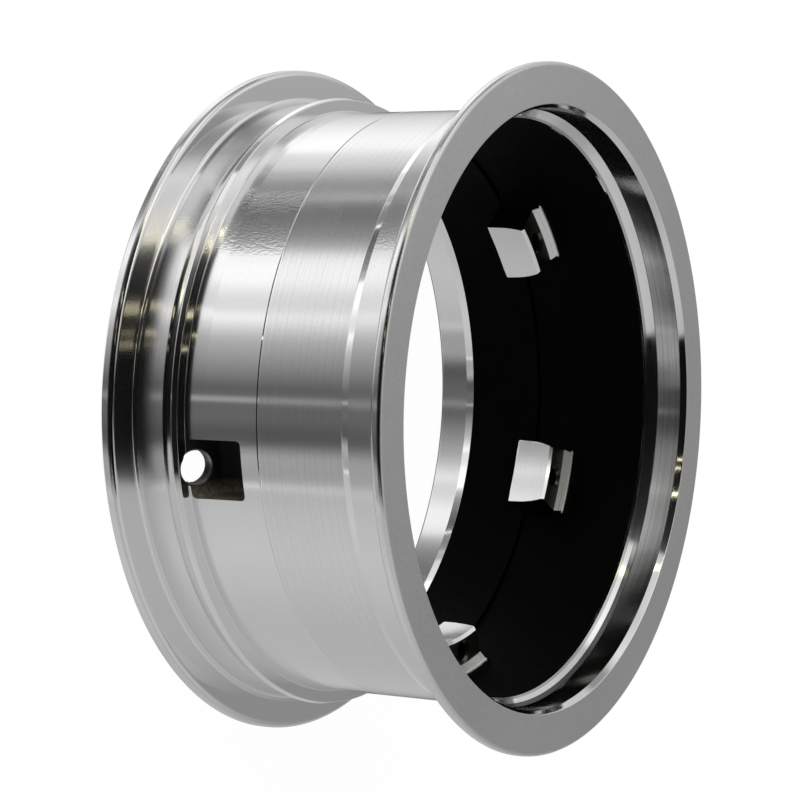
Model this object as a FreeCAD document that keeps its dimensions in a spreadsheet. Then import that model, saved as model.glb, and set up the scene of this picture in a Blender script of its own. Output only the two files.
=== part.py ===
import FreeCAD, Part
import os

import Sketcher

# Scooter wheel rim: one aluminium casting, turned on both flanges, both bead
# seats, the barrel and the two end bores. It lies on its back flange: the
# back face is at Z = 0, the axis is +Z and the lugged front end is up.
# The first lug is on +X and the valve pocket is on -Y.

SIZES = [
    ("rim_width", 82.0, "overall width over both flange faces"),
    ("seat_radius", 82.5, "bead seat radius beside the flange"),
    ("flange_height", 9.2, "flange above the bead seat"),
    ("flange_edge", 0.5, "bevel at the outer edge of each flange face"),
    ("flange_land", 1.9, "width of the flange's outer cylinder, edge bevel included"),
    ("flange_tip", 0.9, "bevel at the tyre side of the flange"),
    ("flange_slope", 1.1, "axial run of the flange's tyre side"),
    ("flange_root", 2.1, "height above the seat where the flange starts to curve"),
    ("flange_curve", 1.7, "axial run of that curve down to the seat"),
    ("seat_taper", 0.3, "fall of the bead seat radius away from the flange"),
    ("back_seat_length", 6.9, "width of the back bead seat"),
    ("hump_height", 1.2, "safety hump above the bead seat"),
    ("hump_slope", 3.2, "axial run of the hump's back slope"),
    ("hump_length", 1.8, "from the hump's crest to its front wall"),
    ("hump_round", 0.6, "bevel on the front of the hump"),
    ("barrel_drop", 2.9, "barrel below the bead seat"),
    ("witness_height", 39.2, "height of the fine turned groove round the barrel"),
    ("witness_width", 0.8, "width of that groove"),
    ("witness_depth", 0.15, "depth of that groove"),
    ("front_seat_length", 9.3, "width of the front bead seat"),
    ("crest_length", 2.1, "axial run of the front seat's bevelled end"),
    ("crest_drop", 0.8, "bevelled end below the bead seat"),
    ("step_length", 1.1, "axial run of the step from that end down to the barrel"),
    ("mouth_wall", 1.8, "seat radius less the inner radius of the front face"),
    ("mouth_bevel", 1.65, "depth of the bevel into the front counterbore"),
    ("front_bore_wall", 2.8, "seat radius less the front counterbore's radius"),
    ("front_bore_length", 7.25, "length of the front counterbore's wall"),
    ("front_cone_length", 2.5, "axial length of the cone behind it"),
    ("land_wall", 5.3, "seat radius less the radius of the land behind the cone"),
    ("land_length", 0.7, "length of that land"),
    ("land_bevel", 0.3, "axial length of the bevel behind the land"),
    ("front_wall", 2.7, "thickness of the barrel in the front half"),
    ("back_wall", 3.7, "thickness of the barrel in the back half"),
    ("wall_step_height", 35.6, "height of the step in the cast wall"),
    ("back_recess_wall", 2.8, "seat radius less the radius of the back recess"),
    ("back_recess_depth", 2.4, "depth of the recess in the back face"),
    ("back_recess_bevel", 0.7, "bevel at the mouth of that recess"),
    ("back_bore_wall", 5.5, "seat radius less the back bore's radius"),
    ("back_bore_length", 8.1, "length of the back bore's wall"),
    ("back_cone_length", 3.0, "axial length of the cone behind it"),
    ("lug_back", 35.2, "height of the lugs' back ends"),
    ("lug_length", 14.1, "length of the lugs along the axis"),
    ("lug_half_width", 9.7, "half the width of a lug"),
    ("lug_embed", 2.2, "barrel radius less the outer side of a lug"),
    ("lug_cast_reach", 16.1, "barrel radius less the cast inner side of a lug"),
    ("lug_reach", 14.0, "barrel radius less the turned inner face of a lug"),
    ("lug_corner", 3.0, "cast corner radius of a lug"),
    ("shoulder_length", 11.4, "from a lug's back end to its turned shoulder"),
    ("pilot_wall", 6.3, "barrel radius less the pilot's radius"),
    ("lug_bevel", 0.45, "bevel on the turned edges of the lugs"),
    ("bolt_inset", 9.6, "barrel radius less the bolt circle's radius"),
    ("bolt_hole_diameter", 5.0, "tapping size of the bolt holes"),
    ("bolt_mouth_diameter", 6.6, "countersink at the mouth of a bolt hole"),
    ("pocket_width", 15.4, "width of the valve pocket round the barrel"),
    ("pocket_gap", 0.3, "from the hump's front wall to the pocket"),
    ("pocket_slope", 30.0, "angle of the sloping floor from a flat of the axis"),
    ("pocket_depth", 8.4, "depth of the pocket below the barrel"),
    ("pocket_length", 16.2, "length of the pocket along the axis"),
    ("pocket_ramp", 3.5, "axial run of the pocket's front side"),
    ("pocket_corner", 1.8, "corner radius of the pocket"),
    ("boss_wall", 3.8, "thickness of cast wall round the pocket"),
    ("boss_embed", 2.4, "barrel radius less the outer side of the boss"),
    ("boss_depth", 12.0, "barrel radius less the inner side of the boss"),
    ("boss_ramp", 4.9, "axial run of the inner boss's front side"),
    ("valve_hole_radius", 4.6, "radius of the valve hole"),
    ("valve_inset", 1.5, "depth of the valve hole's centre below the barrel"),
    ("valve_run_out", 7.0, "clear length drilled in front of the floor"),
    ("valve_run_in", 24.0, "length drilled behind the floor"),
]

# Radii and heights that several features share, as sums of the sizes above.
FLANGE = "(seat_radius + flange_height)"
BARREL = "(seat_radius - barrel_drop)"
HUMP = "(seat_radius + hump_height)"
ROOT_Z = "(flange_land + flange_tip + flange_slope)"
SEAT_Z = "(flange_land + flange_tip + flange_slope + flange_curve)"
CREST_Z = "(%s + back_seat_length + hump_slope)" % SEAT_Z
HUMP_Z = "(%s + hump_length)" % CREST_Z
FRONT_SEAT_Z = "(rim_width - %s - front_seat_length)" % SEAT_Z
FRONT_CREST_Z = "(%s - crest_length)" % FRONT_SEAT_Z
BORE_Z = "(rim_width - mouth_bevel - front_bore_length)"
CONE_Z = "(%s - front_cone_length)" % BORE_Z
LAND_Z = "(%s - land_length)" % CONE_Z
BACK_BORE_Z = "(back_recess_depth + back_bore_length)"
SHOULDER_Z = "(lug_back + shoulder_length)"
LUG_Z = "(lug_back + lug_length)"
POCKET_Z = "(%s + pocket_gap)" % HUMP_Z
POCKET_FRONT_Z = "(%s + pocket_length)" % POCKET_Z


def make_sheet(doc):
    """Spreadsheet with one named size per row."""
    sheet = doc.addObject("Spreadsheet::Sheet", "Sizes")
    for row, (alias, value, note) in enumerate(SIZES, start=1):
        sheet.set("A%d" % row, alias)
        sheet.set("B%d" % row, str(value))
        sheet.set("C%d" % row, note)
        sheet.setAlias("B%d" % row, alias)
    doc.recompute()
    return sheet


def bind(text):
    """Write size names in an expression as cells of the sheet."""
    words = sorted((alias for alias, _, _ in SIZES), key=len, reverse=True)
    out = ""
    i = 0
    while i < len(text):
        match = next((w for w in words if text.startswith(w, i)), None)
        if match:
            out += "Sizes." + match
            i += len(match)
        else:
            out += text[i]
            i += 1
    return out


def number(doc, text):
    """Value of an expression of the sheet's sizes, in millimetres."""
    value = doc.getObject("Sizes").evalExpression(bind(text))
    return float(getattr(value, "Value", value))


def origin_plane(body, role):
    """One of the body's own origin planes."""
    for feature in body.Origin.OriginFeatures:
        if feature.Role == role:
            return feature
    raise RuntimeError("no origin plane " + role)


def new_sketch(body, name, role):
    """Sketch on one of the body's origin planes."""
    sketch = body.newObject("Sketcher::SketchObject", name)
    sketch.AttachmentSupport = [(origin_plane(body, role), "")]
    sketch.MapMode = "FlatFace"
    return sketch


def place_point(sketch, geo, pos, tag, x_text, y_text):
    """Hold one end of a line at bound distances from the sketch's origin."""
    for kind, letter, text in (("DistanceX", "x", x_text), ("DistanceY", "y", y_text)):
        value = number(sketch.Document, text)
        index = sketch.addConstraint(Sketcher.Constraint(kind, -1, 1, geo, pos, value))
        name = "%s_%s" % (tag, letter)
        sketch.renameConstraint(index, name)
        sketch.setExpression("Constraints." + name, bind(text))


def closed_outline(sketch, points):
    """Closed chain of lines through named points given as expressions."""
    doc = sketch.Document
    at = [FreeCAD.Vector(number(doc, x), number(doc, y), 0) for _, x, y in points]
    count = len(points)
    for i in range(count):
        sketch.addGeometry(Part.LineSegment(at[i], at[(i + 1) % count]), False)
    for i in range(count):
        sketch.addConstraint(Sketcher.Constraint("Coincident", i, 2, (i + 1) % count, 1))
    for i, (tag, x_text, y_text) in enumerate(points):
        place_point(sketch, i, 1, tag, x_text, y_text)
    doc.recompute()


def rim_outline():
    """Cross-section of the ring: radius and height of each corner, in order."""
    seat_in = "seat_radius - seat_taper"
    groove = BARREL + " - witness_depth"
    return [
        ("back_inner", "seat_radius - back_recess_wall + back_recess_bevel", "0"),
        ("back_outer", FLANGE + " - flange_edge", "0"),
        ("back_edge", FLANGE, "flange_edge"),
        ("back_land", FLANGE, "flange_land"),
        ("back_tip", FLANGE + " - flange_tip", "flange_land + flange_tip"),
        ("back_root", "seat_radius + flange_root", ROOT_Z),
        ("back_seat", "seat_radius", SEAT_Z),
        ("back_seat_in", seat_in, SEAT_Z + " + back_seat_length"),
        ("hump_up", HUMP + " - 0.2", CREST_Z),
        ("hump_top", HUMP, HUMP_Z + " - hump_round"),
        ("hump_edge", HUMP + " - hump_round", HUMP_Z),
        ("hump_foot", BARREL, HUMP_Z + " + 0.1"),
        ("witness_a", BARREL, "witness_height - witness_width / 2"),
        ("witness_b", groove, "witness_height - witness_width / 4"),
        ("witness_c", groove, "witness_height + witness_width / 4"),
        ("witness_d", BARREL, "witness_height + witness_width / 2"),
        ("step_foot", BARREL, FRONT_CREST_Z + " - step_length"),
        ("step_crest", "seat_radius - crest_drop", FRONT_CREST_Z),
        ("front_seat_in", seat_in, FRONT_SEAT_Z),
        ("front_seat", "seat_radius", "rim_width - " + SEAT_Z),
        ("front_root", "seat_radius + flange_root", "rim_width - " + ROOT_Z),
        ("front_tip", FLANGE + " - flange_tip",
         "rim_width - flange_land - flange_tip"),
        ("front_land", FLANGE, "rim_width - flange_land"),
        ("front_edge", FLANGE, "rim_width - flange_edge"),
        ("front_outer", FLANGE + " - flange_edge", "rim_width"),
        ("mouth", "seat_radius - mouth_wall", "rim_width"),
        ("mouth_in", "seat_radius - front_bore_wall", "rim_width - mouth_bevel"),
        ("counterbore", "seat_radius - front_bore_wall", BORE_Z),
        ("cone_end", "seat_radius - land_wall", CONE_Z),
        ("land_end", "seat_radius - land_wall", LAND_Z),
        ("cast_front", BARREL + " - front_wall", LAND_Z + " - land_bevel"),
        ("wall_step_a", BARREL + " - front_wall - 0.2", "wall_step_height + 0.4"),
        ("wall_step_b", BARREL + " - back_wall", "wall_step_height"),
        ("cone_in", BARREL + " - back_wall", BACK_BORE_Z + " + back_cone_length"),
        ("cone_out", "seat_radius - back_bore_wall", BACK_BORE_Z),
        ("back_bore", "seat_radius - back_bore_wall", "back_recess_depth"),
        ("recess", "seat_radius - back_recess_wall", "back_recess_depth"),
        ("recess_in", "seat_radius - back_recess_wall", "back_recess_bevel"),
    ]


def make_ring(body):
    """Turned ring: the whole cross-section revolved about the axis."""
    sketch = new_sketch(body, "RingOutline", "XZ_Plane")
    closed_outline(sketch, rim_outline())
    ring = body.newObject("PartDesign::Revolution", "Ring")
    ring.Profile = sketch
    ring.ReferenceAxis = (sketch, ["V_Axis"])
    ring.Angle = 360
    body.Tip = ring
    body.Document.recompute()
    return ring


def pattern(body, feature, name):
    """Six copies of a feature round the axis."""
    copies = body.newObject("PartDesign::PolarPattern", name)
    copies.Originals = [feature]
    for axis in body.Origin.OriginFeatures:
        if axis.Role == "Z_Axis":
            copies.Axis = (axis, [""])
    copies.Angle = 360
    copies.Occurrences = 6
    body.Tip = copies
    body.Document.recompute()
    return copies


def lug_outline(sketch):
    """Plan of one lug: a block with two rounded inner corners."""
    doc = sketch.Document
    root = number(doc, BARREL + " - lug_embed")
    side = number(doc, "lug_half_width")
    face = number(doc, BARREL + " - lug_cast_reach")
    turn = number(doc, "lug_corner")
    vec = FreeCAD.Vector
    corners = [
        (vec(root, side, 0), vec(face + turn, side, 0)),
        (vec(face, side - turn, 0), vec(face, turn - side, 0)),
        (vec(face + turn, -side, 0), vec(root, -side, 0)),
        (vec(root, -side, 0), vec(root, side, 0)),
    ]
    for start, end in corners:
        sketch.addGeometry(Part.LineSegment(start, end), False)
    half_turn = 3.141592653589793
    circle = Part.Circle(vec(face + turn, side - turn, 0), vec(0, 0, 1), turn)
    sketch.addGeometry(Part.ArcOfCircle(circle, half_turn / 2, half_turn), False)
    circle = Part.Circle(vec(face + turn, turn - side, 0), vec(0, 0, 1), turn)
    sketch.addGeometry(Part.ArcOfCircle(circle, half_turn, half_turn * 1.5), False)
    con = Sketcher.Constraint
    for pair in ((0, 2, 4, 1), (4, 2, 1, 1), (1, 2, 5, 1), (5, 2, 2, 1)):
        sketch.addConstraint(con("Tangent", *pair))
    sketch.addConstraint(con("Coincident", 2, 2, 3, 1))
    sketch.addConstraint(con("Coincident", 3, 2, 0, 1))
    sketch.addConstraint(con("Horizontal", 0))
    sketch.addConstraint(con("Horizontal", 2))
    sketch.addConstraint(con("Vertical", 1))
    sketch.addConstraint(con("Equal", 4, 5))
    place_point(sketch, 0, 1, "root_top", BARREL + " - lug_embed", "lug_half_width")
    place_point(sketch, 3, 1, "root_low", BARREL + " - lug_embed", "-lug_half_width")
    index = sketch.addConstraint(con("Radius", 4, turn))
    sketch.renameConstraint(index, "corner")
    sketch.setExpression("Constraints.corner", bind("lug_corner"))
    index = sketch.addConstraint(con("DistanceX", -1, 1, 1, 1, face))
    sketch.renameConstraint(index, "face")
    sketch.setExpression("Constraints.face", bind(BARREL + " - lug_cast_reach"))
    doc.recompute()


def make_lugs(body):
    """Six cast lugs inside the barrel, turned on their inner ends."""
    sketch = new_sketch(body, "LugOutline", "XY_Plane")
    sketch.setExpression(".AttachmentOffset.Base.z", bind("lug_back"))
    lug_outline(sketch)
    lug = body.newObject("PartDesign::Pad", "Lug")
    lug.Profile = sketch
    lug.setExpression("Length", bind("lug_length"))
    body.Tip = lug
    body.Document.recompute()
    pattern(body, lug, "Lugs")
    turn_lugs(body)
    drill_lugs(body)


def turn_lugs(body):
    """Turn the inner faces, the shoulder and the pilot of the lugs."""
    inside = BARREL + " - lug_cast_reach - 4"
    face = BARREL + " - lug_reach"
    pilot = BARREL + " - pilot_wall"
    sketch = new_sketch(body, "LugTurning", "XZ_Plane")
    closed_outline(sketch, [
        ("start", inside, "lug_back - 1"),
        ("face_low", face, "lug_back - 1"),
        ("face_top", face, SHOULDER_Z + " - lug_bevel"),
        ("shoulder_in", face + " + lug_bevel", SHOULDER_Z),
        ("shoulder_out", pilot, SHOULDER_Z),
        ("pilot_top", pilot, LUG_Z + " - lug_bevel"),
        ("pilot_out", pilot + " + lug_bevel + 0.5", LUG_Z + " + 0.5"),
        ("end", inside, LUG_Z + " + 0.5"),
    ])
    before = body.Shape.Volume
    cut = body.newObject("PartDesign::Groove", "LugTurned")
    cut.Profile = sketch
    cut.ReferenceAxis = (sketch, ["V_Axis"])
    cut.Angle = 360
    body.Tip = cut
    body.Document.recompute()
    removed(body, before, "lug turning")


def drill_lugs(body):
    """Tapping holes through the shoulders, countersunk at the mouth."""
    sketch = new_sketch(body, "BoltCentre", "XY_Plane")
    sketch.setExpression(".AttachmentOffset.Base.z", bind(SHOULDER_Z))
    doc = body.Document
    centre = FreeCAD.Vector(number(doc, BARREL + " - bolt_inset"), 0, 0)
    radius = number(doc, "bolt_hole_diameter / 2")
    sketch.addGeometry(Part.Circle(centre, FreeCAD.Vector(0, 0, 1), radius), False)
    index = sketch.addConstraint(Sketcher.Constraint("Radius", 0, radius))
    sketch.renameConstraint(index, "size")
    sketch.setExpression("Constraints.size", bind("bolt_hole_diameter / 2"))
    place_point(sketch, 0, 3, "centre", BARREL + " - bolt_inset", "0")
    doc.recompute()
    before = body.Shape.Volume
    hole = body.newObject("PartDesign::Hole", "BoltHole")
    hole.Profile = sketch
    hole.ThreadType = 0
    hole.DepthType = "Dimension"
    hole.DrillPoint = "Flat"
    hole.HoleCutType = "Countersink"
    hole.HoleCutCountersinkAngle = 90
    hole.setExpression("Diameter", bind("bolt_hole_diameter"))
    hole.setExpression("HoleCutDiameter", bind("bolt_mouth_diameter"))
    hole.setExpression("Depth", bind("shoulder_length + 2"))
    body.Tip = hole
    doc.recompute()
    removed(body, before, "bolt hole")
    pattern(body, hole, "BoltHoles")


def floor_height(depth):
    """Height of the valve pocket's sloping floor at a depth below the barrel."""
    return "%s + %s * tan(pocket_slope * 1 deg)" % (POCKET_Z, depth)


def make_valve(body):
    """Valve pocket sunk in the barrel, its inner boss and its slanted hole."""
    lean = "boss_wall / cos(pocket_slope * 1 deg)"
    doc = body.Document
    sketch = new_sketch(body, "BossOutline", "YZ_Plane")
    closed_outline(sketch, [
        ("back_out", "boss_embed - " + BARREL, floor_height("boss_embed") + " - " + lean),
        ("back_in", "boss_depth - " + BARREL, floor_height("boss_depth") + " - " + lean),
        ("floor_end", "boss_depth - " + BARREL, POCKET_FRONT_Z + " - 0.5"),
        ("front_out", "boss_embed - " + BARREL, POCKET_FRONT_Z + " - 0.5 + boss_ramp"),
    ])
    before = body.Shape.Volume
    boss = body.newObject("PartDesign::Pad", "ValveBoss")
    boss.Profile = sketch
    boss.Midplane = True
    boss.setExpression("Length", bind("pocket_width + 2 * boss_wall"))
    body.Tip = boss
    doc.recompute()
    if body.Shape.Volume <= before:
        raise RuntimeError("the valve boss added nothing")

    sketch = new_sketch(body, "PocketOutline", "YZ_Plane")
    closed_outline(sketch, [
        ("back_out", "-2 - " + HUMP, POCKET_Z),
        ("back_in", "-" + BARREL, POCKET_Z),
        ("floor", "pocket_depth - " + BARREL, floor_height("pocket_depth")),
        ("floor_end", "pocket_depth - " + BARREL, POCKET_FRONT_Z + " - pocket_ramp"),
        ("front_in", "-" + BARREL, POCKET_FRONT_Z),
        ("front_out", "-2 - " + HUMP, POCKET_FRONT_Z),
    ])
    before = body.Shape.Volume
    pocket = body.newObject("PartDesign::Pocket", "ValvePocket")
    pocket.Profile = sketch
    pocket.Midplane = True
    pocket.setExpression("Length", bind("pocket_width"))
    body.Tip = pocket
    doc.recompute()
    removed(body, before, "valve pocket")
    round_pocket(body, pocket)
    drill_valve(body)


def round_pocket(body, pocket):
    """Round the two upright front corners of the valve pocket."""
    doc = body.Document
    half = number(doc, "pocket_width / 2")
    low = number(doc, POCKET_FRONT_Z + " - pocket_ramp")
    high = number(doc, POCKET_FRONT_Z)
    names = []
    for i, edge in enumerate(pocket.Shape.Edges, start=1):
        mid = edge.CenterOfMass
        straight = edge.Curve.TypeId == "Part::GeomLine"
        if straight and abs(abs(mid.x) - half) < 0.01 and low < mid.z < high:
            ends = sorted(v.Point.z for v in edge.Vertexes)
            if ends[0] > low - 0.01 and ends[-1] - ends[0] > 1 and mid.y < 0:
                names.append("Edge%d" % i)
    if len(names) != 2:
        raise RuntimeError("pocket corners found: %d" % len(names))
    corner = body.newObject("PartDesign::Fillet", "PocketCorners")
    corner.Base = (pocket, names)
    corner.setExpression("Radius", bind("pocket_corner"))
    body.Tip = corner
    doc.recompute()


def drill_valve(body):
    """Valve hole square to the pocket's sloping floor."""
    doc = body.Document
    slope = number(doc, "pocket_slope")
    sketch = new_sketch(body, "ValveHoleCircle", "XY_Plane")
    turn = FreeCAD.Rotation(FreeCAD.Vector(1, 0, 0), slope)
    sketch.AttachmentOffset = FreeCAD.Placement(FreeCAD.Vector(0, -1, 1), turn)
    lift = "valve_run_out * %s(pocket_slope * 1 deg)"
    sketch.setExpression(".AttachmentOffset.Base.y",
                         bind("valve_inset - " + BARREL + " - " + lift % "sin"))
    sketch.setExpression(".AttachmentOffset.Base.z",
                         bind(floor_height("valve_inset") + " + " + lift % "cos"))
    sketch.setExpression(".AttachmentOffset.Rotation.Angle",
                         bind("pocket_slope * 1 deg"))
    radius = number(doc, "valve_hole_radius")
    centre = FreeCAD.Vector(0, 0, 0)
    sketch.addGeometry(Part.Circle(centre, FreeCAD.Vector(0, 0, 1), radius), False)
    index = sketch.addConstraint(Sketcher.Constraint("Radius", 0, radius))
    sketch.renameConstraint(index, "size")
    sketch.setExpression("Constraints.size", bind("valve_hole_radius"))
    sketch.addConstraint(Sketcher.Constraint("Coincident", 0, 3, -1, 1))
    doc.recompute()
    before = body.Shape.Volume
    hole = body.newObject("PartDesign::Pocket", "ValveHole")
    hole.Profile = sketch
    hole.setExpression("Length", bind("valve_run_out + valve_run_in"))
    body.Tip = hole
    doc.recompute()
    removed(body, before, "valve hole")


def removed(body, before, what):
    """Stop when a cut took nothing away."""
    if body.Shape.Volume > before - 1.0:
        raise RuntimeError("the %s removed nothing" % what)


def check(doc, bodies):
    """Stop when any object failed or any shape is not one valid solid."""
    for obj in doc.Objects:
        bad = [state for state in obj.State if state in ("Invalid", "Error")]
        if bad:
            raise RuntimeError("%s is %s" % (obj.Name, bad))
    for body in bodies:
        shape = body.Shape
        if shape.isNull() or not shape.isValid():
            raise RuntimeError(body.Label + " has no valid shape")
        if len(shape.Solids) != 1:
            raise RuntimeError("%s has %d solids" % (body.Label, len(shape.Solids)))


def main():
    doc = FreeCAD.newDocument("ScooterRim")
    make_sheet(doc)
    body = doc.addObject("PartDesign::Body", "Rim")
    body.Label = "rim"
    body.Placement = FreeCAD.Placement()
    make_ring(body)
    make_lugs(body)
    make_valve(body)
    doc.recompute()
    bodies = [body]
    check(doc, bodies)
    os.makedirs("parts", exist_ok=True)
    for item in bodies:
        item.Shape.exportStep("parts/%s.step" % item.Label)


main()
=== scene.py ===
"""Looks of an open scooter wheel rim: turned alloy outside, black cast inside."""
import logging
import math
from dataclasses import dataclass, field
from enum import Enum

import bmesh
import bpy
import numpy as np
from mathutils import Matrix, Vector


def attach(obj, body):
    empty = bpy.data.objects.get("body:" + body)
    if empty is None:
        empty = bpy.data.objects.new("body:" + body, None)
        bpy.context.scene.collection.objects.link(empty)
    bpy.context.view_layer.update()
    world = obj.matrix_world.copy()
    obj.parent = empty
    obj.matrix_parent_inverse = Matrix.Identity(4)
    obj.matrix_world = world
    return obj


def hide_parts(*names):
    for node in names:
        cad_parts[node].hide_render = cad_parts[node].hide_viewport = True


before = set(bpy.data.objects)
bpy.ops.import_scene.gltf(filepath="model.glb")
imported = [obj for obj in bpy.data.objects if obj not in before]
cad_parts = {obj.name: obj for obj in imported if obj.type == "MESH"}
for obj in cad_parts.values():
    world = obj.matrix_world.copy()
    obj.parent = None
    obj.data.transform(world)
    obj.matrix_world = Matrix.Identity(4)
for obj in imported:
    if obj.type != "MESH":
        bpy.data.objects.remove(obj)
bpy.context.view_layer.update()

MM = 0.001
LOG = logging.getLogger("rim")


class Surface(Enum):
    """Surfaces of the rim, in the order of its material slots."""

    BARREL_BACK = 0
    BARREL_FRONT = 1
    POLISHED = 2
    FACE = 3
    CAST = 4
    SEAT = 5
    POCKET = 6
    RIBBED = 7
    LUG = 8
    SHOULDER = 9
    SEAM = 10
    COUNTERBORE = 11
    PILOT = 12
    BACK_SEAT = 13
    CONE_EDGE = 14


class NodeSheet:
    """Short hand for adding and joining shader nodes."""

    def __init__(self, tree: bpy.types.NodeTree) -> None:
        """Start with an empty tree."""
        self.tree = tree
        tree.nodes.clear()

    def add(self, kind: str, inputs: dict | None = None, **settings) -> bpy.types.Node:
        """Add one node.

        Args:
            kind: The node's type name.
            inputs: Values or sockets for its inputs, by name or number.
            settings: Plain properties of the node.

        Returns:
            The new node.
        """
        node = self.tree.nodes.new(kind)
        for key, value in settings.items():
            setattr(node, key, value)
        for key, value in (inputs or {}).items():
            if isinstance(value, bpy.types.NodeSocket):
                self.tree.links.new(value, node.inputs[key])
            else:
                node.inputs[key].default_value = value
        return node

    def math(self, operation: str, *values) -> bpy.types.NodeSocket:
        """Result of a Math node on numbers or sockets."""
        node = self.add("ShaderNodeMath", dict(enumerate(values)), operation=operation)
        return node.outputs[0]

    def vector(self, operation: str, *values) -> bpy.types.Node:
        """Vector Math node on vectors or sockets."""
        return self.add("ShaderNodeVectorMath", dict(enumerate(values)), operation=operation)

    def spread(self, value: bpy.types.NodeSocket, low: float, high: float, start: float = 0.3,
               end: float = 0.7) -> bpy.types.NodeSocket:
        """Map a noise value between start and end onto low to high."""
        node = self.add("ShaderNodeMapRange", {0: value, 1: start, 2: end, 3: low, 4: high})
        return node.outputs[0]

    def blend(self, factor, first, second) -> bpy.types.NodeSocket:
        """Colour mixed from two by a factor."""
        node = self.add("ShaderNodeMix", {0: factor, 6: first, 7: second}, data_type="RGBA")
        return node.outputs[2]


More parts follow.
